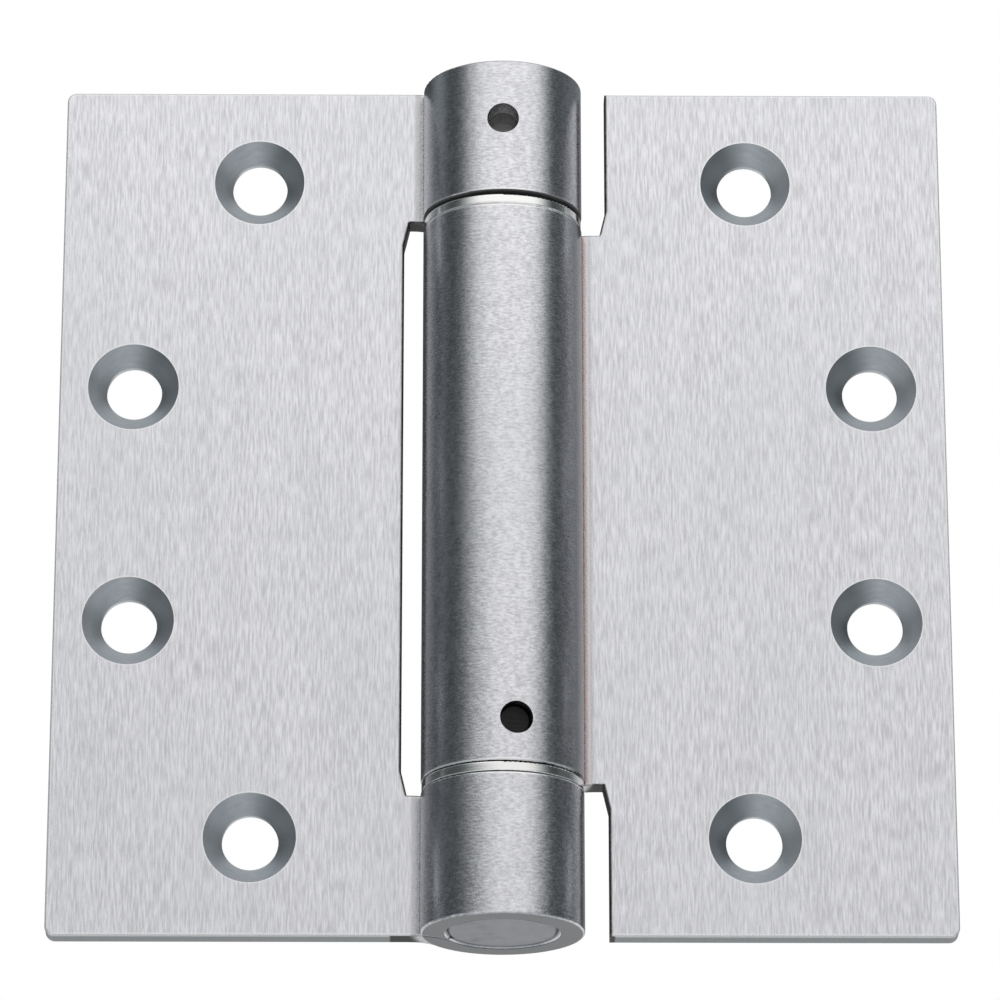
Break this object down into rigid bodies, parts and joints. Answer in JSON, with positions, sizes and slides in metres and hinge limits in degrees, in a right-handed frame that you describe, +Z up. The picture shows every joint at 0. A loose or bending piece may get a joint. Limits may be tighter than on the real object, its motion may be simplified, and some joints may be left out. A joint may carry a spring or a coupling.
{
  "type": "spring loaded door hinge",
  "caption": "Square full mortise butt hinge with a long spring barrel between two end knuckles, polished bearing rings, countersunk screw holes and a turning tension collar.",
  "frame": {"origin": "on the hinge's pin axis, half way up the leaves, which is the middle of the overall box with the leaves open flat", "axes": "+Z up along the pin axis towards the tension collar, +X out over the door leaf, -Y out of the countersunk faces"},
  "size_m": [0.1142, 0.0206, 0.1142],
  "materials": {
    "leaf_steel": "satin, brushed along the leaves and round the knuckles",
    "ring_steel": "turned and polished bright",
    "bush_bronze": "sintered, oil filled",
    "turned_steel": "turned, zinc plated",
    "black_steel": "hardened and blackened",
    "spring_steel": "oil tempered wire"
  },
  "bodies": {
    "frame": {"frame_leaf": "leaf_steel", "collar_snap_ring": "black_steel", "bottom_pintle": "turned_steel", "lower_bearing_ring": "ring_steel"},
    "door": {"door_leaf": "leaf_steel", "upper_bearing_ring": "ring_steel", "upper_bush": "bush_bronze", "lower_bush": "bush_bronze", "torsion_spring": "spring_steel", "anchor_plug": "turned_steel", "anchor_pin": "black_steel"},
    "adjuster": {"tension_collar": "turned_steel"}
  },
  "joints": [
    {"name": "door_leaf_swing", "type": "hinge", "parent": "frame", "child": "door", "pos_m": [0, 0, 0], "axis": [0, 0, 1], "range_deg": [-180, 0], "deforming": ["torsion_spring"]},
    {"name": "tension_collar_turn", "type": "hinge", "parent": "frame", "child": "adjuster", "pos_m": [0, 0, 0.049], "axis": [0, 0, 1], "range_deg": [-270, 0], "deforming": ["torsion_spring"]}
  ]
}
